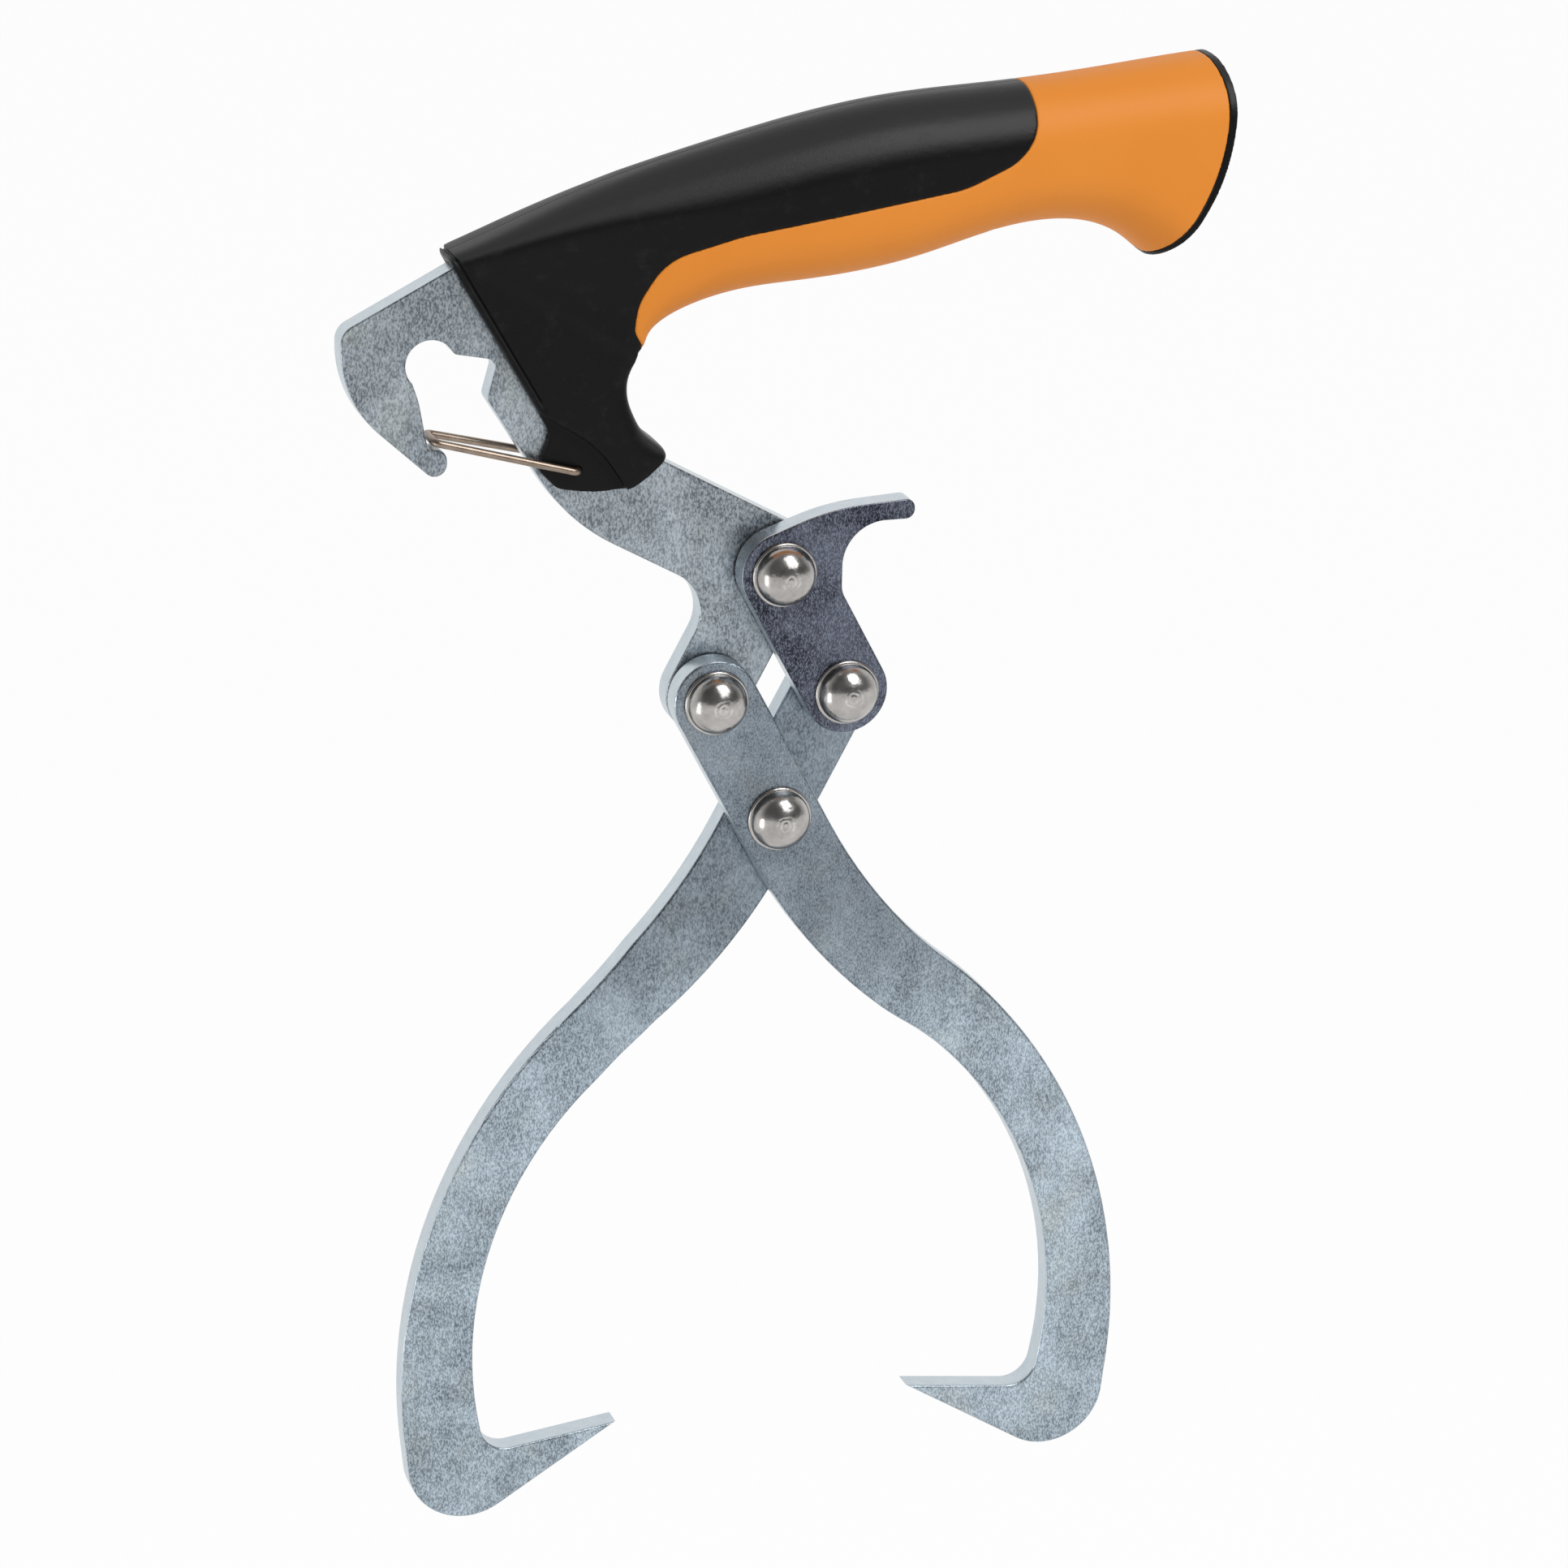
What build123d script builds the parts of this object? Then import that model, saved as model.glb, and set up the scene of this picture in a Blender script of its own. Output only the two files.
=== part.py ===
from build123d import *
import os
from math import atan, cos, degrees, radians, sin, tan

# Hand tongs for lifting logs. Two crossed jaws hang on a diamond of four equal links: the hooked
# frame plate, the finger lever and the upper arms of the jaws.
# All sizes are millimetres. Outlines are drawn in the plane of the plates, X to the right and Z up,
# from the lever pivot of the frame plate. Y runs away from the viewer, and Y = 0 lies midway
# between the two layers of plates. The finished pieces are moved to the middle of the grip.

# Plates and the diamond of pivots
PLATE_T = 6.0
LAYER_GAP = 0.8
LINK = 33.5
HALF_ANGLE = 28.0
EYE_R = 10.0
EDGE_R = 0.45
FAR = 400.0

# Rivets and washers
SHANK_D = 8.0
HEAD_D = 14.2
HEAD_H = 5.6
HEAD_FLAT_D = 4.4
FLANGE_D = 15.4
FLANGE_T = 0.9
FLANGE_R = 0.5
WASHER_D = 17.0
RUN_CLEAR = 0.05

# Frame plate: arm, body and hook
BODY_SLOPE = 29.0
BODY_RISE = 10.5
BODY_W = 22.2
NECK_R = 10.4
KNEE_R = 48.0
THROAT_SLOPE = 57.8
SPUR = Vector(-68.4, 44.2)
SPUR_R = 2.2
POCKET = Vector(-66.0, 53.0)
POCKET_R = 2.2
HOOK_EYE = Vector(-81.3, 52.8)
HOOK_EYE_R = 5.75
EYE_LIP = Vector(-76.6, 55.1)
EYE_LIP_R = 1.6
HOOK_INNER = Vector(-84.0, 44.6)
HOOK_INNER_R = 22.0
NOTCH = Vector(-81.9, 33.3)
NOTCH_R = 0.9
NOSE_X = -77.5
NOSE_R = 2.8
BELLY_SLOPE = 42.5
BELLY_POINT = Vector(-83.2, 28.6)
BELLY_R = 27.0
HOOK_LEFT_X = -101.9
HOOK_CORNER_R = 4.6
HOOK_TOP_SLOPE = 27.4
HOOK_TOP_POINT = Vector(-94.9, 65.1)

# Tang of the frame plate, hidden in the handle
TANG_SETBACK = 29.4
TANG_TIP_Z = 93.0
TANG_SLOPE = 8.0
TANG_H = 15.0
TANG_TIP_R = 4.0
TANG_NECK_X = -40.0
TANG_NECK_R = 9.0
PEG_HOLE_D = 7.0
PEG_HOLE_STEPS = (20.0, 48.0, 76.0)

# Finger lever
LEVER_EYE_R = 10.0
FINGER_TIP_X = 31.3
FINGER_TOP_Z = 15.9
FINGER_T = 4.9
FINGER_R = 2.2
FINGER_CURVE_R = 10.2
FINGER_BACK_X = 14.1
FINGER_BACK_R = 6.0
CROWN = Vector(11.0, 14.7)
CROWN_R = 55.0
CROWN_START = 115.0

# Jaws
JAW_STRAIGHT = 41.5
JAW_OUT_R = 125.0
JAW_OUT_TURN = 24.8
JAW_IN_R = 107.0
JAW_IN_TURN = 61.7
JAW_WAIST_W = 17.9
JAW_FOOT_W = 18.5
JAW_EDGE_R = 0.6
CROOK_DROP = 7.6
CROOK_R = 6.8
SPIKE_LENGTH = 32.4
SPIKE_RISE = 7.4
SPIKE_ANGLE = 24.4
HEEL_R = 14.5
JOGGLE_LEAN = 15.0
JOGGLE_START = 40.0
JOGGLE_RUN = 17.0
JOGGLE_R = 12.0

# Handle: widths over the cheeks, the grip and the flared end
FORE_W = 14.6
FORE_EDGE_R = 1.5
NECK_STEP = 0.2
GRIP_W = 28.5
END_W = 31.0
NECK_TOP = Vector(-78.4, 77.9)
NECK_LOW = Vector(-34.2, 53.2)
FORE_NOTCH = Vector(-54.0, 35.6)
FORE_NOTCH_R = 4.0
FORE_TOE = Vector(-57.2, 27.6)
FORE_TOE_R = 2.5
FORE_BOTTOM = (Vector(-52.4, 22.6), Vector(-44.5, 21.2), Vector(-35.5, 21.6))
FORE_BOTTOM_R = (4.0, 30.0, 8.0)
FORE_GUARD = Vector(-25.2, 28.8)
FORE_GUARD_R = 2.0
FORE_FINGER = (Vector(-33.0, 34.9), Vector(-37.5, 44.8))
FORE_FINGER_BEND = (8.0, 12.0)

# Grip: upper and lower points of its cross-sections in side view
GRIP_TOPS = (
    Vector(-63.2, 83.5), Vector(-46.6, 90.0), Vector(-25.6, 96.5), Vector(0.0, 103.0), Vector(27.0, 107.7),
    Vector(53.0, 109.4), Vector(77.0, 111.4),
)
GRIP_LOWS = (
    Vector(-31.8, 57.6), Vector(-26.0, 61.6), Vector(-12.2, 65.6), Vector(5.0, 67.2), Vector(30.0, 70.6),
    Vector(54.0, 76.8), Vector(72.0, 77.0),
)
GRIP_REACH = 102.95
GRIP_END_Z = 113.9
END_BULGE = -1.05
END_MIDDLE_Z = 89.0
END_LOW_Z = 67.5
END_UNDERCUT = 15.8
END_FLARE = 10.0

RECESS_COVER = 1.8
RIDGE = (Vector(-57.0, 41.0), Vector(-43.2, 32.4), Vector(-34.2, 18.0))
RIDGE_R = 30.0
CAP_T = 1.9
CAP_PEG_D = 11.0
CAP_PEG_L = 8.0
CORE_WALL = 4.0
GRIP_CENTRE = Vector(27.0, 88.0)

# Line in side view where the soft cover ends and the hard core shows
COVER_LINE = (
    Vector(-32.6, 53.4), Vector(-35.9, 59.0), Vector(-35.5, 65.5), Vector(-29.5, 75.6), Vector(-12.0, 80.6),
    Vector(40.0, 88.6), Vector(57.0, 96.0),
)
COVER_BENDS = (0, 4.0, 12.0, 14.0, 40.0, 24.0, 13.0)

# Wire gate
WIRE_D = 1.8
GATE_PIVOT = Vector(-47.8, 26.7)
GATE_LOOP = Vector(-80.75, 35.3)
GATE_SPREAD = 6.6
GATE_LOOP_CLEAR = 0.2
GATE_BEND_R = 1.5
GATE_TAIL = 5.0


def heading(angle):
    """Unit vector at an angle in degrees, counter-clockwise from X."""
    return Vector(cos(radians(angle)), sin(radians(angle)))


def left_of(angle):
    """Unit vector to the left of a heading."""
    return heading(angle + 90)


def meet(p, angle_p, q, angle_q):
    """Where the line through p at angle_p crosses the line through q at angle_q."""
    normal = left_of(angle_q)
    return p + heading(angle_p) * ((q - p).dot(normal) / heading(angle_p).dot(normal))


def outline(*corners):
    """Closed face from (point, corner radius) pairs."""
    points = [corner for corner, _ in corners]
    radii = [radius for _, radius in corners]
    return make_face(FilletPolyline(*points, radius=radii, close=True))


def disc(centre, radius):
    return Pos(centre.X, centre.Y) * Circle(radius)


def plate(face, front_y, thickness):
    """Flat piece cut to a face of the X-Z plane, from front_y away from the viewer."""
    return Pos(0, front_y + thickness, 0) * extrude(Plane.XZ * face, thickness)


def ease(solid, radius):
    """Rounds the rim edges of a flat plate's two faces."""
    faces = solid.faces().filter_by(Axis.Y)
    return fillet([edge for face in faces for edge in face.outer_wire().edges()], radius)


# Places that the pieces share
TANG_TIP = Vector(GRIP_REACH - TANG_SETBACK, TANG_TIP_Z)
END_ARC = (
    Vector(GRIP_REACH, GRIP_END_Z),
    Vector(GRIP_REACH + END_BULGE, END_MIDDLE_Z),
    Vector(GRIP_REACH - END_UNDERCUT, END_LOW_Z),
)
LEVER_PIVOT = Vector(0, 0)
JAW_PIVOT = heading(-90 - HALF_ANGLE) * LINK
LEVER_END = heading(-90 + HALF_ANGLE) * LINK
CROSSING = JAW_PIVOT + LEVER_END
HOLE_R = SHANK_D / 2 + RUN_CLEAR
FRONT_Y = -LAYER_GAP / 2 - PLATE_T
REAR_Y = LAYER_GAP / 2
HANDLE_Y = REAR_Y + PLATE_T / 2
RECESS_HALF = PLATE_T / 2 + RECESS_COVER


def frame_face():
    """Outline of the rear plate: two pivot eyes, the carabiner hook and the tang in the handle."""
    arm = -90 - HALF_ANGLE
    body = -BODY_SLOPE
    upper = LEVER_PIVOT + left_of(body) * BODY_RISE
    lower = upper - left_of(body) * BODY_W
    arm_right = LEVER_PIVOT + left_of(arm) * EYE_R
    arm_left = LEVER_PIVOT - left_of(arm) * EYE_R
    nose_top = Vector(NOSE_X, NOTCH.Y)
    nose_low = meet(nose_top, 90, BELLY_POINT, -BELLY_SLOPE)
    belly = meet(BELLY_POINT, -BELLY_SLOPE, Vector(HOOK_LEFT_X, 0), 90)
    hook_corner = meet(HOOK_TOP_POINT, HOOK_TOP_SLOPE, belly, 90)
    tang_up = left_of(TANG_SLOPE) * (TANG_H / 2)
    tang_neck = Vector(TANG_NECK_X, 0)
    face = outline(
        (meet(upper, body, arm_right, arm), EYE_R),
        (JAW_PIVOT + left_of(arm) * EYE_R, 0),
        (JAW_PIVOT - left_of(arm) * EYE_R, 0),
        (meet(arm_left, arm, lower, body), NECK_R),
        (meet(lower, body, SPUR, -THROAT_SLOPE), KNEE_R),
        (SPUR, SPUR_R),
        (POCKET, POCKET_R),
        (EYE_LIP, 0),
        (HOOK_EYE, 0),
        (HOOK_EYE + heading(190) * (HOOK_EYE_R - EDGE_R), 0),
        (HOOK_INNER, HOOK_INNER_R),
        (NOTCH, NOTCH_R),
        (nose_top, NOSE_R),
        (nose_low, NOSE_R),
        (belly, BELLY_R),
        (hook_corner, HOOK_CORNER_R),
        (meet(HOOK_TOP_POINT, HOOK_TOP_SLOPE, TANG_TIP + tang_up, TANG_SLOPE), TANG_NECK_R),
        (TANG_TIP + tang_up, TANG_TIP_R),
        (TANG_TIP - tang_up, TANG_TIP_R),
        (meet(tang_neck, 90, TANG_TIP - tang_up, TANG_SLOPE), TANG_NECK_R),
        (meet(tang_neck, 90, upper, body), TANG_NECK_R),
    )
    face = face + disc(JAW_PIVOT, EYE_R) - disc(HOOK_EYE, HOOK_EYE_R)
    return fillet(face.vertices().sort_by_distance(EYE_LIP)[0], EYE_LIP_R)


def peg_place(step):
    """Moulding hole of the tang, counted back from the tang's tip."""
    return TANG_TIP - heading(TANG_SLOPE) * step


def peg_holes():
    return Sketch() + [disc(peg_place(step), PEG_HOLE_D / 2) for step in PEG_HOLE_STEPS]


def frame_plate():
    """The rear plate with eased edges and its holes."""
    solid = ease(plate(frame_face(), REAR_Y, PLATE_T), EDGE_R)
    holes = peg_holes() + disc(LEVER_PIVOT, HOLE_R) + disc(JAW_PIVOT, HOLE_R)
    holes += disc(GATE_PIVOT, WIRE_D / 2 + RUN_CLEAR)
    return solid - plate(holes, REAR_Y, PLATE_T)


def finger_lever():
    """Front plate: a link of the diamond with a curved finger on top."""
    arm = -90 + HALF_ANGLE
    right = LEVER_PIVOT + left_of(arm) * LEVER_EYE_R
    crown_start = LEVER_PIVOT + heading(CROWN_START) * LEVER_EYE_R
    finger_back = Vector(FINGER_BACK_X, FINGER_TOP_Z - FINGER_T)
    face = outline(
        (crown_start, 0),
        (CROWN, CROWN_R),
        (Vector(FINGER_TIP_X, FINGER_TOP_Z), FINGER_R),
        (Vector(FINGER_TIP_X, FINGER_TOP_Z - FINGER_T), FINGER_R),
        (finger_back, FINGER_CURVE_R),
        (meet(finger_back, 90, right, arm), FINGER_BACK_R),
        (LEVER_END + left_of(arm) * LEVER_EYE_R, 0),
        (LEVER_END - left_of(arm) * LEVER_EYE_R, 0),
        (LEVER_PIVOT - left_of(arm) * LEVER_EYE_R, 0),
    )
    face += disc(LEVER_PIVOT, LEVER_EYE_R) + disc(LEVER_END, LEVER_EYE_R)
    solid = ease(plate(face, FRONT_Y, PLATE_T), EDGE_R)
    holes = disc(LEVER_PIVOT, HOLE_R) + disc(LEVER_END, HOLE_R)
    return solid - plate(holes, FRONT_Y, PLATE_T)


def jaw_face():
    """Outline of a jaw from the crossing pivot: eye, swept band, heel and spike."""
    eye = JAW_PIVOT - CROSSING
    start_angle = -90 + HALF_ANGLE
    waist_angle = start_angle + JAW_OUT_TURN
    foot_angle = waist_angle - JAW_IN_TURN
    start = eye + heading(start_angle) * JAW_STRAIGHT
    waist = start + (left_of(start_angle) - left_of(waist_angle)) * JAW_OUT_R
    foot = waist - (left_of(waist_angle) - left_of(foot_angle)) * JAW_IN_R

    def edge(side):
        """One long edge of the band: a straight run and two tangent arcs."""
        first = eye + left_of(start_angle) * (side * EYE_R)
        bend = start + left_of(start_angle) * (side * EYE_R)
        middle = waist + left_of(waist_angle) * (side * JAW_WAIST_W / 2)
        last = foot + left_of(foot_angle) * (side * JAW_FOOT_W / 2)
        outward = TangentArc(bend, middle, tangent=heading(start_angle))
        inward = TangentArc(middle, last, tangent=outward % 1)
        return [Line(first, bend), outward, inward]

    outer = edge(1)
    inner = edge(-1)
    crook = (inner[-1] @ 1) + (inner[-1] % 1) * CROOK_DROP
    spike_angle = 180 - SPIKE_RISE
    tip = crook + heading(spike_angle) * SPIKE_LENGTH
    outer_run = outer[-1] % 1
    outer_angle = degrees(atan(outer_run.Y / outer_run.X)) if outer_run.X else 90
    heel = meet(outer[-1] @ 1, outer_angle, tip, spike_angle - SPIKE_ANGLE)
    foot_lines = [
        Line(inner[-1] @ 1, crook),
        Line(crook, tip),
        Line(tip, heel),
        Line(heel, outer[-1] @ 1),
        Line(outer[0] @ 0, inner[0] @ 0),
    ]
    band = make_face(inner + outer + foot_lines)
    band = fillet(band.vertices().sort_by_distance(crook)[0], CROOK_R)
    band = fillet(band.vertices().sort_by_distance(heel)[0], HEEL_R)
    return band + disc(eye, EYE_R), eye


def joggle_slab():
    """Sheet that steps from the front layer to the middle between the layers."""
    step = (LAYER_GAP + PLATE_T) / 2
    lean = Plane((0, 0, 0), x_dir=(cos(radians(JOGGLE_LEAN)), 0, -sin(radians(JOGGLE_LEAN))),
                 z_dir=(sin(radians(JOGGLE_LEAN)), 0, cos(radians(JOGGLE_LEAN))))
    shift = PLATE_T * tan(atan(step / JOGGLE_RUN) / 2)
    end = JOGGLE_START + JOGGLE_RUN
    back_y = FRONT_Y + PLATE_T
    face = outline(
        (Vector(-FAR, FRONT_Y), 0),
        (Vector(JOGGLE_START, FRONT_Y), JOGGLE_R + PLATE_T),
        (Vector(end, FRONT_Y + step), JOGGLE_R),
        (Vector(FAR, FRONT_Y + step), 0),
        (Vector(FAR, back_y + step), 0),
        (Vector(end - shift, back_y + step), JOGGLE_R + PLATE_T),
        (Vector(JOGGLE_START - shift, back_y), JOGGLE_R),
        (Vector(-FAR, back_y), 0),
    )
    return extrude(lean * face, FAR, both=True)


def jaw():
    """A jaw in the front layer, set out from the crossing pivot."""
    face, eye = jaw_face()
    deep = plate(face, FRONT_Y - PLATE_T, 4 * PLATE_T)
    solid = deep & joggle_slab()
    solid = fillet([edge for edge in solid.edges() if abs((edge % 0.5).Y) < 0.9], JAW_EDGE_R)
    holes = disc(eye, HOLE_R) + disc(Vector(0, 0), HOLE_R)
    return solid - plate(holes, FRONT_Y - PLATE_T, 4 * PLATE_T)


def right_jaw():
    return Pos(CROSSING.X, 0, CROSSING.Y) * jaw()


def left_jaw():
    """The same jaw turned half round, so that it lies in the rear layer."""
    return Pos(CROSSING.X, 0, CROSSING.Y) * Rot(0, 0, 180) * jaw()


def rivet(pivot):
    """Rivet through both layers, with a flanged dome at each end."""
    seat = LAYER_GAP / 2 + PLATE_T
    tip = seat + HEAD_H
    brim = seat + FLANGE_T
    dome_mid = Vector((HEAD_D / 2 + HEAD_FLAT_D / 2) / 2, (brim + tip) / 2) + Vector(1, 1) * (HEAD_H / 6)
    half = [
        Line((0, tip), (HEAD_FLAT_D / 2, tip)),
        ThreePointArc((HEAD_FLAT_D / 2, tip), dome_mid, (HEAD_D / 2, brim)),
        FilletPolyline((HEAD_D / 2, brim), (FLANGE_D / 2, brim), (FLANGE_D / 2, seat), radius=FLANGE_R),
        Polyline((FLANGE_D / 2, seat), (SHANK_D / 2, seat), (SHANK_D / 2, 0)),
    ]
    profile = half + [line.mirror(Plane.XZ) for line in half] + [Line((0, tip), (0, -tip))]
    turned = revolve(Plane.XZ * make_face(profile), Axis.Z)
    return Pos(pivot.X, 0, pivot.Y) * Rot(90, 0, 0) * turned


def washer(pivot):
    ring = disc(pivot, WASHER_D / 2) - disc(pivot, HOLE_R)
    return plate(ring, -LAYER_GAP / 2, LAYER_GAP)


def handle_section(start, end, width, corner_r):
    """Rounded cross-section of the handle between two points of its side view."""
    run = end - start
    centre = (start + end) * 0.5
    place = Plane((centre.X, HANDLE_Y, centre.Y), x_dir=(run.X, 0, run.Y), z_dir=(run.Y, 0, -run.X))
    return place * RectangleRounded(run.length, width, corner_r)


def fore_part():
    """Flat lower end of the handle, moulded on both sides of the frame plate."""
    face = outline(
        (NECK_TOP, 0),
        (FORE_NOTCH, FORE_NOTCH_R),
        (FORE_TOE, FORE_TOE_R),
        *zip(FORE_BOTTOM, FORE_BOTTOM_R),
        (FORE_GUARD, FORE_GUARD_R),
        *zip(FORE_FINGER, FORE_FINGER_BEND),
        (NECK_LOW, 0),
    )
    solid = plate(face, HANDLE_Y - FORE_W / 2, FORE_W)
    neck_length = (NECK_TOP - NECK_LOW).length
    rims = solid.faces().filter_by(Axis.Y).edges()
    return fillet([edge for edge in rims if abs(edge.length - neck_length) > 0.01], FORE_EDGE_R)


def grip_part():
    """Round, flared grip from the neck to beyond the handle's end."""
    widths = (FORE_W + 3.6, GRIP_W - 7.0, GRIP_W - 3.0, GRIP_W - 0.6, GRIP_W, GRIP_W - 0.8, GRIP_W - 0.4)
    fullness = (0.5, 0.75, 0.9, 0.92, 0.93, 0.93, 0.92)
    step = (NECK_LOW - NECK_TOP).normalized() * NECK_STEP
    sections = [handle_section(NECK_TOP + step, NECK_LOW - step, FORE_W - 2 * NECK_STEP, FORE_EDGE_R)]
    for top, low, width, full in zip(GRIP_TOPS, GRIP_LOWS, widths, fullness):
        sections.append(handle_section(top, low, width, full * width / 2))
    end_top, _, end_low = END_ARC
    end_r = 0.92 * END_W / 2
    before = (end_top - Vector(END_FLARE * 0.4, 0.2), end_low + Vector(-END_FLARE * 0.4, END_FLARE * 0.45))
    after = (end_top + Vector(END_FLARE, 1.0), end_low + Vector(END_FLARE * 0.7, -END_FLARE * 0.45))
    sections.append(handle_section(*before, END_W - 1.0, end_r - 0.5))
    sections.append(handle_section(*after, END_W, end_r))
    return loft(sections)


def beyond_end(inset):
    """Everything past the handle's curved end, or past a curve set in from it."""
    top, middle, low = [point - Vector(inset, 0) for point in END_ARC]
    arc = ThreePointArc(top, middle, low)
    up = top - (arc % 0) * FAR
    down = low + (arc % 1) * FAR
    lines = [Line(up, top), arc, Line(low, down), Polyline(down, (FAR, down.Y), (FAR, up.Y), up)]
    return plate(make_face(lines), -FAR / 2, FAR)


def orange_zone():
    """The part of the side view where the hard core comes to the surface."""
    face = outline(
        *zip(COVER_LINE, COVER_BENDS),
        (Vector(COVER_LINE[-1].X + 0.4, FAR), 0),
        (Vector(FAR, FAR), 0),
        (Vector(FAR, COVER_LINE[0].Y), 0),
    )
    return plate(face, -FAR / 2, FAR)


def core_spine():
    """Bar of the hard core that is moulded round the tang, under the soft cover."""
    up = left_of(TANG_SLOPE) * (TANG_H / 2 + CORE_WALL)
    tip = TANG_TIP + heading(TANG_SLOPE) * CORE_WALL
    back = peg_place(PEG_HOLE_STEPS[-1]) - heading(TANG_SLOPE) * (PEG_HOLE_D + CORE_WALL)
    face = outline((tip + up, TANG_TIP_R), (tip - up, TANG_TIP_R), (back - up, 0), (back + up, 0))
    thickness = PLATE_T + 2 * CORE_WALL
    return plate(face, HANDLE_Y - thickness / 2, thickness)


def cheek_recess():
    """Room beside the fore part for the legs of the wire gate to swing."""
    first, middle, last = RIDGE
    ahead = first.X - FORE_W
    face = outline(
        (first, 0),
        (middle, RIDGE_R),
        (last, 0),
        (Vector(ahead, last.Y), 0),
        (Vector(ahead, first.Y), 0),
    )
    front = plate(face, HANDLE_Y - RECESS_HALF - FORE_W, FORE_W)
    rear = plate(face, HANDLE_Y + RECESS_HALF, FORE_W)
    return [front, rear]


def end_cap_peg():
    """Spigot that holds the end cap in the core."""
    axis = heading(TANG_SLOPE)
    root = END_ARC[1] - axis * CAP_T
    place = Plane((root.X, HANDLE_Y, root.Y), z_dir=(-axis.X, 0, -axis.Y))
    return place * Cylinder(CAP_PEG_D / 2, CAP_PEG_L, align=(Align.CENTER, Align.CENTER, Align.MIN))


def gate_wire():
    """Sprung wire loop that closes the hook, with both ends turned into the frame plate."""
    loop_half = PLATE_T / 2 + GATE_LOOP_CLEAR + WIRE_D / 2
    tail_y = GATE_SPREAD - GATE_TAIL

    def place(point, side_y):
        return Vector(point.X, HANDLE_Y + side_y, point.Y)

    path = FilletPolyline(
        place(GATE_PIVOT, -tail_y),
        place(GATE_PIVOT, -GATE_SPREAD),
        place(GATE_LOOP, -loop_half),
        place(GATE_LOOP, loop_half),
        place(GATE_PIVOT, GATE_SPREAD),
        place(GATE_PIVOT, tail_y),
        radius=GATE_BEND_R,
    )
    section = Plane(path @ 0, z_dir=path % 0) * Circle(WIRE_D / 2)
    return sweep(section, path)


def gate_ways():
    """Holes through the soft cover for the two ends of the wire."""
    return plate(disc(GATE_PIVOT, WIRE_D / 2 + RUN_CLEAR), HANDLE_Y - FORE_W, 2 * FORE_W)


def handle_pieces():
    """Hard core, soft cover and end cap, moulded round the frame plate's tang."""
    grip = grip_part() - beyond_end(0)
    cap_zone = beyond_end(CAP_T)
    zone = orange_zone()
    spine = core_spine()
    slot = plate(frame_face(), REAR_Y, PLATE_T)
    cap_peg = end_cap_peg() & grip
    cap =(grip & cap_zone) + cap_peg
    core = (grip & zone) - cap_zone + spine - slot + plate(peg_holes(), REAR_Y, PLATE_T) - cap_peg
    fore = fore_part() - slot - gate_ways()
    for block in cheek_recess():
        fore -= block
    cover = (grip - zone - spine - slot) + fore
    return {"handle_core": core, "soft_grip": cover, "end_cap": cap}


def build():
    pieces = {
        "frame_plate": frame_plate(),
        "finger_lever": finger_lever(),
        "right_jaw": right_jaw(),
        "left_jaw": left_jaw(),
        "gate_wire": gate_wire(),
    }
    pivots = {
        "lever": LEVER_PIVOT,
        "right_jaw": JAW_PIVOT,
        "left_jaw": LEVER_END,
        "crossing": CROSSING,
    }
    for name, pivot in pivots.items():
        pieces[name + "_rivet"] = rivet(pivot)
        pieces[name + "_washer"] = washer(pivot)
    pieces.update(handle_pieces())
    return pieces


os.makedirs("parts", exist_ok=True)
for node, solid in build().items():
    export_step(Pos(-GRIP_CENTRE.X, -HANDLE_Y, -GRIP_CENTRE.Y) * solid, f"parts/{node}.step")
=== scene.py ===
from math import cos, radians, sin

import bpy
from mathutils import Matrix, Vector
from mathutils.geometry import intersect_point_line


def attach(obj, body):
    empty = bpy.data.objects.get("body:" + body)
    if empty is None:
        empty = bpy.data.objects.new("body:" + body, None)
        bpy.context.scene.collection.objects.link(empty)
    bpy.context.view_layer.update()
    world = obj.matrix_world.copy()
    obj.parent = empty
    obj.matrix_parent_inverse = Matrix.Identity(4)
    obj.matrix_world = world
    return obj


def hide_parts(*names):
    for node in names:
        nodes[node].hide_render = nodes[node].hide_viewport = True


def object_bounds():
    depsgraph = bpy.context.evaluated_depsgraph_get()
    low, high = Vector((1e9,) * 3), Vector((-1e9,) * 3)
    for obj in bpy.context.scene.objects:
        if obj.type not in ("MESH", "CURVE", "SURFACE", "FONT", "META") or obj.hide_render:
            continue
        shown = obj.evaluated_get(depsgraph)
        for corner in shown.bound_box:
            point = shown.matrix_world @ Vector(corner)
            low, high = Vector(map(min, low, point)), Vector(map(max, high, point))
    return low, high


# Camera of the photograph: square picture, seen from the left and a little above
PICTURE_PX = 1932
FOCAL_PX = 6929
SENSOR = 36.0
CAMERA_SIDE = radians(17.98)
CAMERA_RISE = radians(20.09)
CAMERA_ROLL = radians(-1.22)
CAMERA_DISTANCE = 1.3
CAMERA_AIM = Vector((-0.02599, -0.0098, -0.13886))

# Room: the floor below the tool, and the levels of its front and back for plain and for mirrored light
FLOOR_DROP = 0.30
FLOOR_WIDTH = 60.0
FLOOR_LIFT = 0.96
ROOM_FRONT = 0.36
ROOM_BACK = 0.6
MIRROR_FRONT = 0.12
MIRROR_BACK = 1.0
CEILING_SHADE = 0.3
SHADE_START = -0.55
SHADE_END = 0.25

# Soft boxes: place, point that each faces, width, height and power
SOFT_BOXES = {
    "key_box": ((0.35, -0.75, 0.75), (0, 0, -0.1), 0.5, 0.8, 8.5),
    "left_box": ((-1.0, -0.4, -0.4), (0, 0, -0.15), 0.3, 0.6, 2.4),
    "low_box": ((0.3, -0.95, -0.55), (0, 0, -0.28), 0.8, 0.2, 0.5),
}

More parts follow.
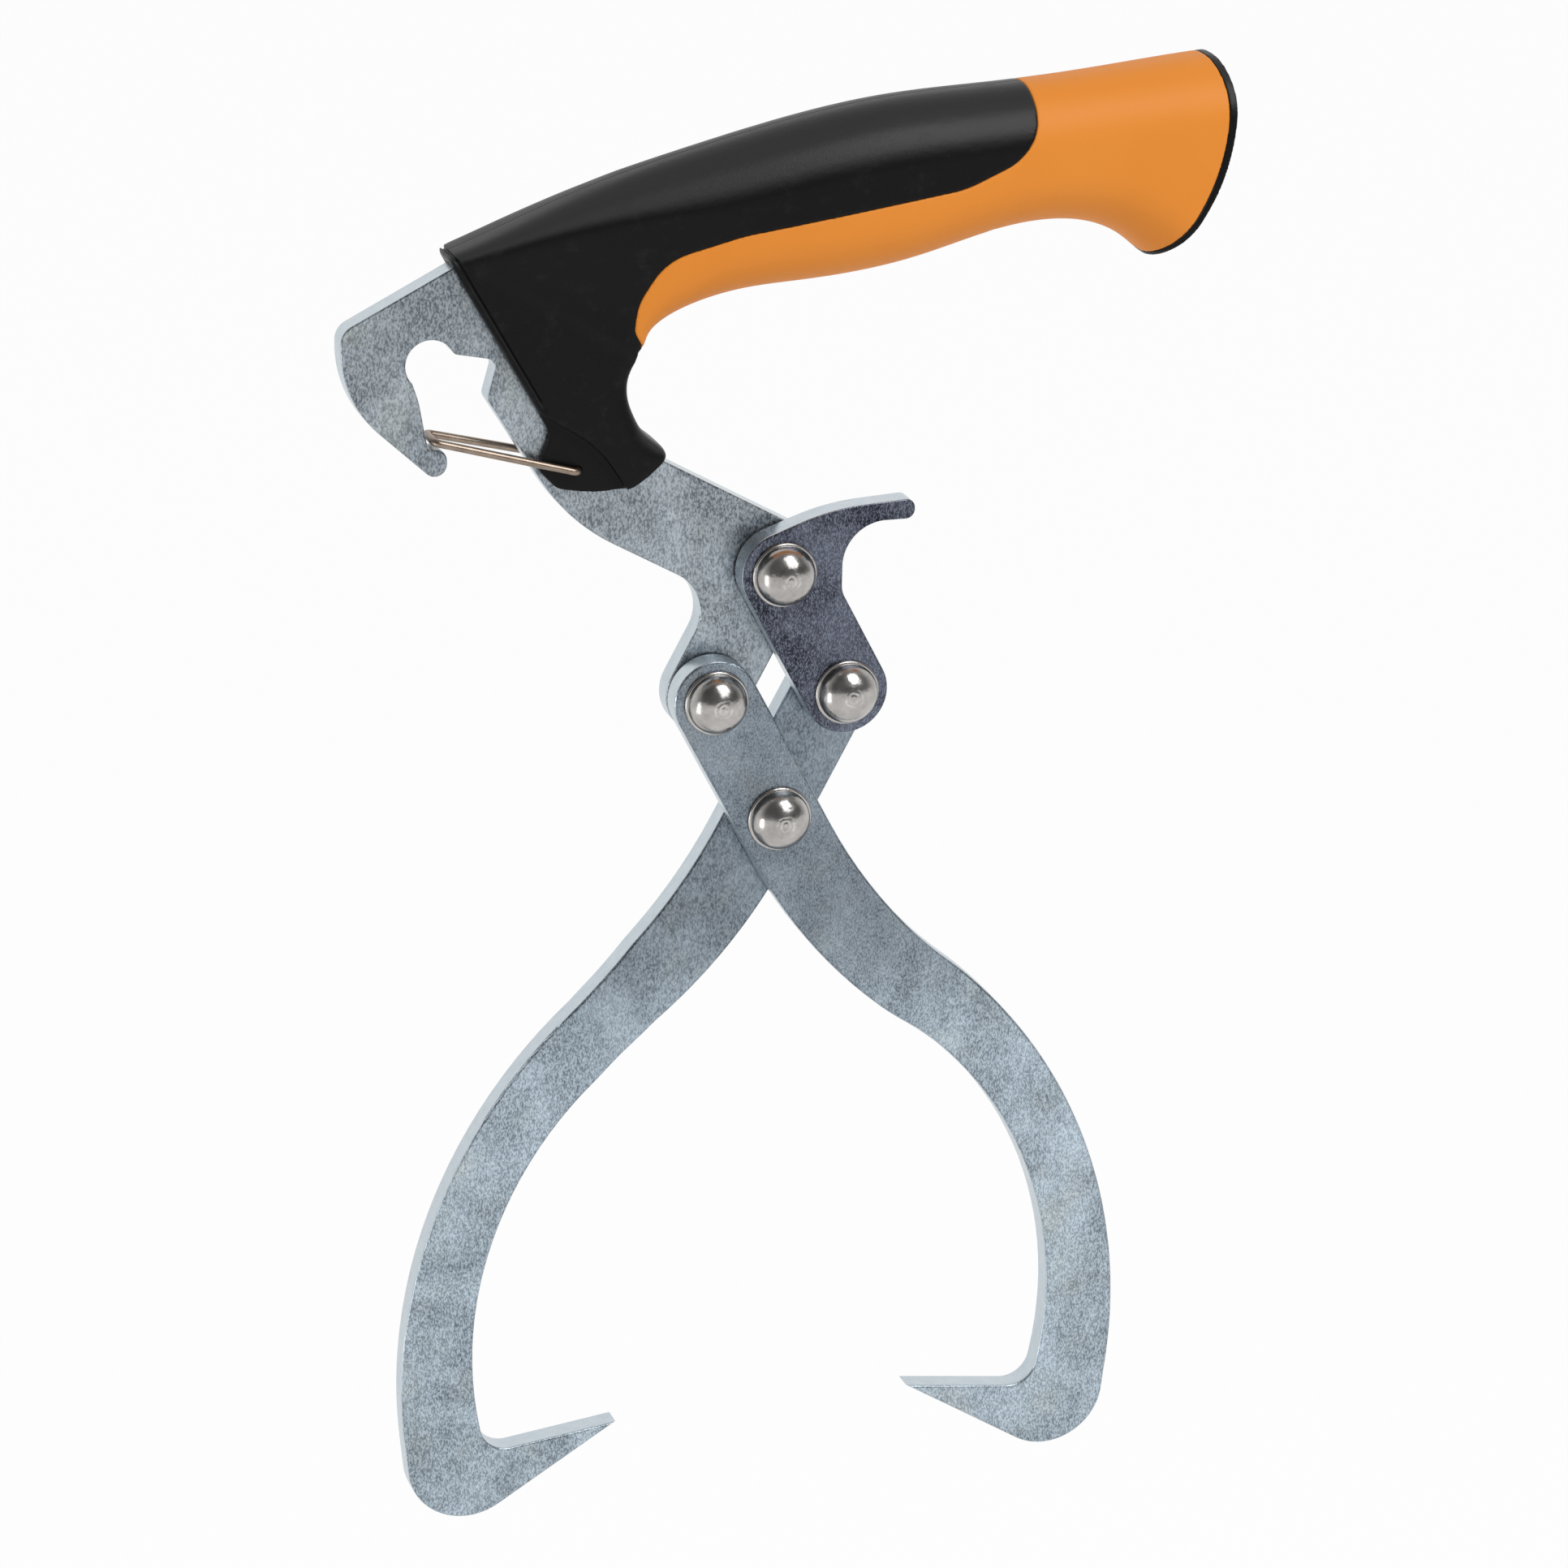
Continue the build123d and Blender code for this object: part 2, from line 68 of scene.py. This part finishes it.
# Pivots of the diamond, in X and Z, and the middle between the two layers of plates
LAYERS_Y = -0.0034
PIVOTS = {
    "lever": (-0.027, -0.088),
    "right_jaw": (-0.042727, -0.117579),
    "left_jaw": (-0.011273, -0.117579),
    "crossing": (-0.027, -0.147158),
}

# Grain of the plating, and the heights between which painted shade darkens the jaws upwards towards the
# pivots
PLATE_GRAIN = 0.00035
LEVER_GRAIN = 0.0003
PAINTED_SHADE_SPAN = (-0.212, -0.168)
PAINTED_SHADE_TINT = (0.54, 0.535, 0.545, 1.0)

# Hammered crown and dents of a rivet head
CROWN_REACH = 0.0044
CROWN_RISE = 0.0006
DENT_DEPTH = 0.00004

# Soft cover, in X and Z: the neck where its flat cheeks become round, the groove behind its front edge
# and the line that the fingers close round
NECK_TOP = Vector((-0.1054, -0.0101))
NECK_NORMAL = Vector((0.488, 0.873))
NECK_REACH = 0.011
NECK_ROUNDS = 300
FRONT_INWARD = Vector((0.8662, 0.4997))
FRONT_DOWN = Vector((0.4997, -0.8662))
GROOVE_INSET = 0.0014
GROOVE_HALF = 0.0005
GROOVE_DEPTH = 0.0007
GROOVE_END = 0.043
GROOVE_FADE = 0.003
FINGER_LINE = (Vector((-0.0645, -0.0432)), Vector((-0.06, -0.0531)), Vector((-0.0522, -0.0592)))
FINGER_REACH = 0.007
FINGER_ROUNDS = 320
TOP_LINE = (NECK_TOP, Vector((-0.0902, -0.0045)), Vector((-0.0736, 0.002)))
TOP_REACH = 0.010
TOP_ROUNDS = 320
CORNER_REACH = 0.004
CORNER_ROUNDS = 80

# Skins of the mouldings
COVER_ROUNDS = 8
CORE_ROUNDS = 6
SKIN_VOXEL = 0.0003
CAP_VOXEL = 0.00025
SKIN_FACES = 88000


class Tint:
    """A socket of a finish that can stand in Python sums."""

    def __init__(self, finish, socket):
        self.finish = finish
        self.socket = socket

    def math(self, operation, first, second=0.0):
        return self.finish.node("Math", {"operation": operation}, {0: first, 1: second})

    def __add__(self, other):
        return self.math("ADD", self, other)

    def __radd__(self, other):
        return self.math("ADD", other, self)

    def __sub__(self, other):
        return self.math("SUBTRACT", self, other)

    def __rsub__(self, other):
        return self.math("SUBTRACT", other, self)

    def __mul__(self, other):
        return self.math("MULTIPLY", self, other)

    def __rmul__(self, other):
        return self.math("MULTIPLY", other, self)

    def __truediv__(self, other):
        return self.math("DIVIDE", self, other)

    def __rtruediv__(self, other):
        return self.math("DIVIDE", other, self)

    def __pow__(self, other):
        return self.math("POWER", self, other)

    def __rpow__(self, other):
        return self.math("POWER", other, self)

    def __neg__(self):
        return self.math("MULTIPLY", self, -1.0)

    def __abs__(self):
        return self.math("ABSOLUTE", self)

    def ramp(self, start, end):
        """0 before start, 1 after end, smooth between."""
        settings = {"interpolation_type": "SMOOTHSTEP"}
        return self.finish.node("MapRange", settings, {0: self, 1: start, 2: end, 3: 0.0, 4: 1.0})


class Finish:
    """One material: a Principled shader and the nodes that feed it."""

    def __init__(self, name, **plain):
        self.material = bpy.data.materials.new(name)
        self.material.use_nodes = True
        self.tree = self.material.node_tree
        self.tree.nodes.clear()
        output = self.tree.nodes.new("ShaderNodeOutputMaterial")
        self.shader = self.tree.nodes.new("ShaderNodeBsdfPrincipled")
        self.tree.links.new(self.shader.outputs[0], output.inputs["Surface"])
        for key, value in plain.items():
            self.set(key.replace("_", " ").title().replace("Ior", "IOR"), value)

    def node(self, kind, settings=None, sockets=None, out=0):
        made = self.tree.nodes.new("ShaderNode" + kind)
        for key, value in (settings or {}).items():
            setattr(made, key, value)
        for key, value in (sockets or {}).items():
            self.feed(made.inputs[key], value)
        return Tint(self, made.outputs[out])

    def feed(self, socket, value):
        if isinstance(value, Tint):
            self.tree.links.new(value.socket, socket)
        else:
            socket.default_value = value

    def set(self, name, value):
        self.feed(self.shader.inputs[name], value)

    def place(self):
        """Object coordinates, in metres."""
        return self.node("TexCoord", out="Object")

    def parts(self, vector):
        """X, Y and Z of a vector."""
        split = self.node("SeparateXYZ", sockets={0: vector})
        outputs = split.socket.node.outputs
        return [Tint(self, output) for output in outputs]

    def noise(self, size, detail=2.0, roughness=0.5, where=None):
        """Noise with features of about the given size in metres."""
        sockets = {
            "Vector": where or self.place(),
            "Scale": 1.0 / size,
            "Detail": detail,
            "Roughness": roughness,
        }
        return self.node("TexNoise", sockets=sockets)

    def blend(self, factor, first, second, mode="MIX"):
        """Mix of two colours."""
        settings = {"data_type": "RGBA", "blend_type": mode}
        return self.node("Mix", settings, {0: factor, 6: first, 7: second}, out=2)

    def bump(self, height, depth, strength=1.0):
        sockets = {"Strength": strength, "Distance": depth, "Height": height}
        self.set("Normal", self.node("Bump", sockets=sockets))


def rgb(red, green, blue):
    """Screen colour of 0 to 255 as linear light."""
    return tuple(
        value / 12.92 if value <= 0.04045 else ((value + 0.055) / 1.055) ** 2.4
        for value in (red / 255, green / 255, blue / 255)
    ) + (1.0,)


def zinc_finish(name, dark, light, warm, edge, grain, middle, crisp, painted_shade=0.0):
    """Zinc-plated sheet: speckled, clouded faces, painted shade darkening the upper parts towards the
    pivots, and pale cut edges.
    """
    finish = Finish(name, metallic=0.86)
    along = finish.node("VectorMath", {"operation": "MULTIPLY"}, {0: finish.place(), 1: (1.0, 1.0, 0.5)})
    clouds = finish.noise(0.016, 4.0, 0.6).ramp(0.34, 0.66)
    mottle = finish.noise(grain * 3.0, 2.0, 0.6, along).ramp(0.32, 0.68)
    speckle = finish.noise(grain, 1.0, 0.6, along)
    sparks = speckle.ramp(middle - crisp, middle + crisp)
    tone = clouds * 0.32 + mottle * 0.16 + sparks * 0.52
    face = finish.blend(tone, dark, light)
    tinge = finish.noise(0.011, 2.0, 0.5).ramp(0.45, 0.75) * 0.55
    face = finish.blend(tinge, face, finish.blend(tone, dark, warm))
    height = finish.parts(finish.place())[2]
    # Painted shade: the jaws darken upwards between the two heights, towards the pivots
    face = finish.blend(height.ramp(*PAINTED_SHADE_SPAN) * painted_shade, face, PAINTED_SHADE_TINT, "MULTIPLY")
    facing = abs(finish.parts(finish.node("NewGeometry", out="True Normal"))[1])
    rim = 1.0 - facing.ramp(0.3, 0.85)
    streaks = finish.noise(0.0025, 2.0, 0.5)
    rim_tone = finish.blend(streaks, edge, rgb(206, 214, 219))
    finish.set("Base Color", finish.blend(rim, face, rim_tone))
    finish.set("Roughness", 0.26 + sparks * 0.1 + clouds * 0.05 - rim * 0.02)
    finish.bump(speckle, 0.00008, 0.35)
    return finish.material


def rivet_finish(name, pivot):
    """Polished steel with a turned swirl on the flattened top of the dome."""
    finish = Finish(name, metallic=1.0)
    shift = finish.node("VectorMath", {"operation": "SUBTRACT"}, {0: finish.place(), 1: pivot})
    x, _, z = finish.parts(shift)
    radius = (x * x + z * z) ** 0.5
    smudge = finish.noise(0.0035, 3.0, 0.6)
    scuffs = finish.noise(0.001, 2.0, 0.6)
    top = 1.0 - radius.ramp(0.0008, 0.0032)
    swirl = finish.node("Math", {"operation": "SINE"}, {0: radius * 5000.0 + smudge * 14.0})
    finish.set("Base Color", finish.blend(smudge, rgb(134, 131, 128), rgb(208, 205, 202)))
    finish.set("Roughness", 0.16 + smudge * 0.14 + top * 0.08)
    crown = (1.0 - radius.ramp(0.0, CROWN_REACH)) * CROWN_RISE
    finish.bump(crown + (swirl * top * 0.9 + scuffs * 0.5 + smudge * 2.6) * DENT_DEPTH, 1.0)
    return finish.material


def wire_finish():
    """Drawn spring steel with a brownish cast."""
    finish = Finish("spring_wire", metallic=1.0)
    drawn = finish.noise(0.003, 3.0, 0.6)
    fine = finish.noise(0.0006, 2.0, 0.6)
    finish.set("Base Color", finish.blend(drawn, rgb(112, 98, 86), rgb(172, 156, 142)))
    finish.set("Roughness", 0.26 + drawn * 0.12 + fine * 0.06)
    finish.bump(fine, 0.00003, 0.4)
    return finish.material


def orange_finish():
    """Matte orange moulding with a very fine texture."""
    finish = Finish("orange_plastic", specular_ior_level=0.25)
    drift = finish.noise(0.03, 2.0, 0.5)
    fine = finish.noise(0.0005, 2.0, 0.6)
    finish.set("Base Color", finish.blend(drift, rgb(224, 134, 44), rgb(231, 143, 52)))
    finish.set("Roughness", 0.46 + drift * 0.06 + fine * 0.06)
    finish.bump(fine, 0.00003, 0.5)
    return finish.material


def black_finish(name, parting):
    """Satin black moulding with faint scuffs, a painted sheen that lightens the faces turning upwards in
    place of a highlight, and a parting line if it has one.
    """
    finish = Finish(name, specular_ior_level=0.12)
    drift = finish.noise(0.02, 3.0, 0.5)
    scuffs = finish.noise(0.004, 4.0, 0.65).ramp(0.52, 0.8)
    fine = finish.noise(0.0004, 2.0, 0.6)
    plain = finish.blend(drift, rgb(9, 9, 10), rgb(13, 13, 14))
    worn = finish.blend(scuffs * 0.5, plain, rgb(36, 36, 37))
    # Painted sheen: faces that turn upwards get a lighter base colour, standing in for the lamps' highlight
    upward = finish.parts(finish.node("NewGeometry", out="Normal"))[2]
    painted_sheen = upward.ramp(0.06, 0.42) * (1.0 - upward.ramp(0.75, 1.0) * 0.45)
    finish.set("Base Color", finish.blend(painted_sheen * 0.9, worn, rgb(53, 53, 54)))
    finish.set("Roughness", 0.28 + drift * 0.06 + fine * 0.06 + scuffs * 0.08)
    height = fine * 0.1
    if parting:
        y = finish.parts(finish.place())[1]
        height = height - (1.0 - abs(y).ramp(0.0001, 0.0004)) * 0.4
    finish.bump(height, 0.0003, 1.0)
    return finish.material


def dress(piece, material):
    piece.data.materials.clear()
    piece.data.materials.append(material)


def moulding(node, name, voxel, rounds, shape=None):
    """A moulded piece over its CAD solid: one closed skin with softened edges and its own last shaping."""
    bpy.ops.object.select_all(action="DESELECT")
    piece = bpy.data.objects.new(name, nodes[node].data.copy())
    bpy.context.collection.objects.link(piece)
    bpy.context.view_layer.objects.active = piece
    piece.select_set(True)
    bpy.ops.object.mode_set(mode="EDIT")
    bpy.ops.mesh.select_all(action="SELECT")
    bpy.ops.mesh.remove_doubles(threshold=0.00001)
    bpy.ops.object.mode_set(mode="OBJECT")
    skin = piece.modifiers.new("skin", "REMESH")
    skin.mode = "VOXEL"
    skin.voxel_size = voxel
    bpy.ops.object.modifier_apply(modifier=skin.name)
    soften(piece, rounds)
    if shape:
        shape(piece)
    thin = piece.modifiers.new("thin", "DECIMATE")
    thin.ratio = min(1.0, SKIN_FACES / len(piece.data.polygons))
    bpy.ops.object.modifier_apply(modifier=thin.name)
    bpy.ops.object.shade_smooth()
    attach(piece, "frame")
    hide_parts(node)
    return piece


def soften(piece, rounds, group=""):
    """Relaxes a skin, or the part of it in a vertex group."""
    relax = piece.modifiers.new("relax", "SMOOTH")
    relax.factor = 0.5
    relax.iterations = rounds
    relax.vertex_group = group
    bpy.ops.object.modifier_apply(modifier=relax.name)


def unit(value):
    return max(0.0, min(1.0, value))


def weighted(piece, name, weigh):
    """Vertex group of a piece, from a weight for each vertex's place in X and Z and its normal."""
    group = piece.vertex_groups.new(name=name)
    for vertex in piece.data.vertices:
        weight = weigh(Vector((vertex.co.x, vertex.co.z)), vertex.normal)
        if weight > 0:
            group.add([vertex.index], weight, "REPLACE")
    return group.name


def neck_weight(place, normal):
    """Flat cheeks near the neck."""
    offset = (place - NECK_TOP).dot(NECK_NORMAL)
    return unit(1 - abs(offset) / NECK_REACH) * unit((abs(normal.y) - 0.7) / 0.2)


def nearness(place, line, reach):
    """1 on a line of points, falling to 0 at a reach from it."""
    nearest = reach
    for start, end in zip(line, line[1:]):
        share = intersect_point_line(place, start, end)[1]
        nearest = min(nearest, (place - start.lerp(end, unit(share))).length)
    return unit(1.4 * (1 - nearest / reach))


def finger_weight(place, normal):
    """Both edges along the line that the fingers close round."""
    return nearness(place, FINGER_LINE, FINGER_REACH)


def top_weight(place, normal):
    """Both upper edges behind the front corner."""
    return nearness(place, TOP_LINE, TOP_REACH)


def corner_weight(place, normal):
    """Upper front corner."""
    return unit(1.5 * (1 - (place - NECK_TOP).length / CORNER_REACH))


def groove_weight(place, normal):
    """Line a little behind the front edge, on the cheeks and over the top."""
    run = place - NECK_TOP
    across = abs(run.dot(FRONT_INWARD) - GROOVE_INSET)
    fade = unit((GROOVE_END - run.dot(FRONT_DOWN)) / GROOVE_FADE)
    return unit(1.6 * (1 - across / GROOVE_HALF)) * fade


def shape_cover(cover):
    """Rounds the cheeks, finger side and upper edges, and cuts the groove behind the front edge."""
    soften(cover, NECK_ROUNDS, weighted(cover, "neck", neck_weight))
    soften(cover, FINGER_ROUNDS, weighted(cover, "finger", finger_weight))
    soften(cover, TOP_ROUNDS, weighted(cover, "top", top_weight))
    soften(cover, CORNER_ROUNDS, weighted(cover, "corner", corner_weight))
    groove = cover.modifiers.new("groove", "DISPLACE")
    groove.strength = -GROOVE_DEPTH
    groove.mid_level = 0.0
    groove.vertex_group = weighted(cover, "groove", groove_weight)
    bpy.ops.object.modifier_apply(modifier=groove.name)
    cover.vertex_groups.clear()


def soft_box(name, place, aim, width, height, power):
    """Large area lamp turned towards a point."""
    lamp = bpy.data.lights.new(name, "AREA")
    lamp.shape = "RECTANGLE"
    lamp.size = width
    lamp.size_y = height
    lamp.energy = power
    holder = bpy.data.objects.new(name, lamp)
    holder.location = place
    holder.rotation_euler = (Vector(aim) - Vector(place)).to_track_quat("-Z", "Y").to_euler()
    bpy.context.collection.objects.link(holder)


def seen_rays(tree):
    """1 for rays that show the room itself, to the camera, in metal or through glass."""
    path = tree.nodes.new("ShaderNodeLightPath")
    total = path.outputs["Is Camera Ray"]
    for name in ("Is Glossy Ray", "Is Transmission Ray"):
        either = tree.nodes.new("ShaderNodeMath")
        either.operation = "MAXIMUM"
        tree.links.new(total, either.inputs[0])
        tree.links.new(path.outputs[name], either.inputs[1])
        total = either.outputs[0]
    return total


def pale_floor(lowest):
    """Pale floor under the tool, white to the camera and in metal."""
    bpy.ops.object.select_all(action="DESELECT")
    bpy.ops.mesh.primitive_plane_add(size=FLOOR_WIDTH, location=(0, 0, lowest - FLOOR_DROP))
    floor = bpy.context.object
    floor.name = "studio_floor"
    finish = Finish("pale_floor", base_color=(0.93, 0.93, 0.93, 1.0), roughness=0.9)
    tree = finish.tree
    glow = tree.nodes.new("ShaderNodeEmission")
    lift = tree.nodes.new("ShaderNodeMath")
    lift.operation = "MULTIPLY"
    lift.inputs[1].default_value = FLOOR_LIFT
    tree.links.new(seen_rays(tree), lift.inputs[0])
    both = tree.nodes.new("ShaderNodeMixShader")
    tree.links.new(lift.outputs[0], both.inputs[0])
    tree.links.new(finish.shader.outputs[0], both.inputs[1])
    tree.links.new(glow.outputs[0], both.inputs[2])
    tree.links.new(both.outputs[0], tree.nodes["Material Output"].inputs["Surface"])
    floor.data.materials.append(finish.material)


def white_room():
    """White surround, darker in front of the tool and overhead where it only lights or is mirrored."""
    world = bpy.data.worlds.new("white_room")
    bpy.context.scene.world = world
    world.use_nodes = True
    tree = world.node_tree
    background = tree.nodes["Background"]
    background.inputs["Color"].default_value = (1, 1, 1, 1)
    where = tree.nodes.new("ShaderNodeTexCoord")
    split = tree.nodes.new("ShaderNodeSeparateXYZ")
    tree.links.new(where.outputs["Generated"], split.inputs[0])
    shade = tree.nodes.new("ShaderNodeMath")
    shade.operation = "MULTIPLY_ADD"
    shade.inputs[1].default_value = -CEILING_SHADE
    tree.links.new(split.outputs["Z"], shade.inputs[0])
    tree.links.new(split.outputs["Y"], shade.inputs[2])
    levels = []
    for front, back in ((ROOM_FRONT, ROOM_BACK), (MIRROR_FRONT, MIRROR_BACK)):
        depth = tree.nodes.new("ShaderNodeMapRange")
        depth.inputs["From Min"].default_value = SHADE_START
        depth.inputs["From Max"].default_value = SHADE_END
        depth.inputs["To Min"].default_value = front
        depth.inputs["To Max"].default_value = back
        tree.links.new(shade.outputs[0], depth.inputs["Value"])
        levels.append(depth.outputs["Result"])
    mirrored = tree.nodes.new("ShaderNodeMix")
    tree.links.new(seen_rays(tree), mirrored.inputs[0])
    tree.links.new(levels[0], mirrored.inputs[2])
    tree.links.new(levels[1], mirrored.inputs[3])
    path = tree.nodes.new("ShaderNodeLightPath")
    shown = tree.nodes.new("ShaderNodeMix")
    shown.inputs[3].default_value = 1.0
    tree.links.new(path.outputs["Is Camera Ray"], shown.inputs[0])
    tree.links.new(mirrored.outputs[0], shown.inputs[2])
    tree.links.new(shown.outputs[0], background.inputs["Strength"])


def photo_camera():
    """Camera of the photograph."""
    side, rise = CAMERA_SIDE, CAMERA_RISE
    right = Vector((cos(side), -sin(side), 0))
    back = Vector((-sin(side) * cos(rise), -cos(side) * cos(rise), sin(rise)))
    up = back.cross(right)
    turn = Matrix((right, up, back)).transposed()
    roll = Matrix.Rotation(CAMERA_ROLL, 3, "Y")
    camera = bpy.data.cameras.new("photo_camera")
    camera.sensor_width = SENSOR
    camera.lens = SENSOR * FOCAL_PX / PICTURE_PX
    camera.clip_end = 100
    holder = bpy.data.objects.new("photo_camera", camera)
    pose = (roll @ turn).to_4x4()
    pose.translation = CAMERA_AIM + CAMERA_DISTANCE * (roll @ back)
    holder.matrix_world = pose
    bpy.context.collection.objects.link(holder)
    bpy.context.scene.camera = holder


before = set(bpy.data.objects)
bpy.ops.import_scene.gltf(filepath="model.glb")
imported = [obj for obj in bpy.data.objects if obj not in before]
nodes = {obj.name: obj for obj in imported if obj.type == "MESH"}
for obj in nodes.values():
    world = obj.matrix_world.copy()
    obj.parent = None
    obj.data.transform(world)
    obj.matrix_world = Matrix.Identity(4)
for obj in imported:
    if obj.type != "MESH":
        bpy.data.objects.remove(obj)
cad_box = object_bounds()

frame_zinc = zinc_finish(
    "frame_zinc",
    dark=rgb(83, 90, 97),
    light=rgb(182, 191, 198),
    warm=rgb(180, 185, 180),
    edge=rgb(184, 198, 206),
    grain=PLATE_GRAIN,
    middle=0.5,
    crisp=0.15,
)
jaw_zinc = zinc_finish(
    "jaw_zinc",
    dark=rgb(92, 102, 111),
    light=rgb(196, 211, 222),
    warm=rgb(190, 198, 197),
    edge=rgb(184, 198, 206),
    grain=PLATE_GRAIN,
    middle=0.5,
    crisp=0.15,
    painted_shade=1.0,
)
lever_zinc = zinc_finish(
    "lever_steel",
    dark=rgb(18, 20, 28),
    light=rgb(124, 130, 146),
    warm=rgb(104, 107, 126),
    edge=rgb(184, 196, 206),
    grain=LEVER_GRAIN,
    middle=0.55,
    crisp=0.08,
)
dress(nodes["frame_plate"], frame_zinc)
for jaw in ("right_jaw", "left_jaw"):
    dress(nodes[jaw], jaw_zinc)
dress(nodes["finger_lever"], lever_zinc)
for pivot, (x, z) in PIVOTS.items():
    polished = rivet_finish(pivot + "_rivet_steel", (x, LAYERS_Y, z))
    dress(nodes[pivot + "_rivet"], polished)
    dress(nodes[pivot + "_washer"], polished)
dress(nodes["gate_wire"], wire_finish())

cover = moulding("soft_grip", "grip_cover", SKIN_VOXEL, COVER_ROUNDS, shape_cover)
dress(cover, black_finish("black_rubber", True))
core = moulding("handle_core", "grip_core", SKIN_VOXEL, CORE_ROUNDS)
dress(core, orange_finish())
cap = moulding("end_cap", "grip_cap", CAP_VOXEL, CORE_ROUNDS)
dress(cap, black_finish("black_plastic", False))

pale_floor(cad_box[0][2])
white_room()
for name, (place, aim, width, height, power) in SOFT_BOXES.items():
    soft_box(name, place, aim, width, height, power)
photo_camera()
scene = bpy.context.scene
scene.view_settings.view_transform = "Standard"
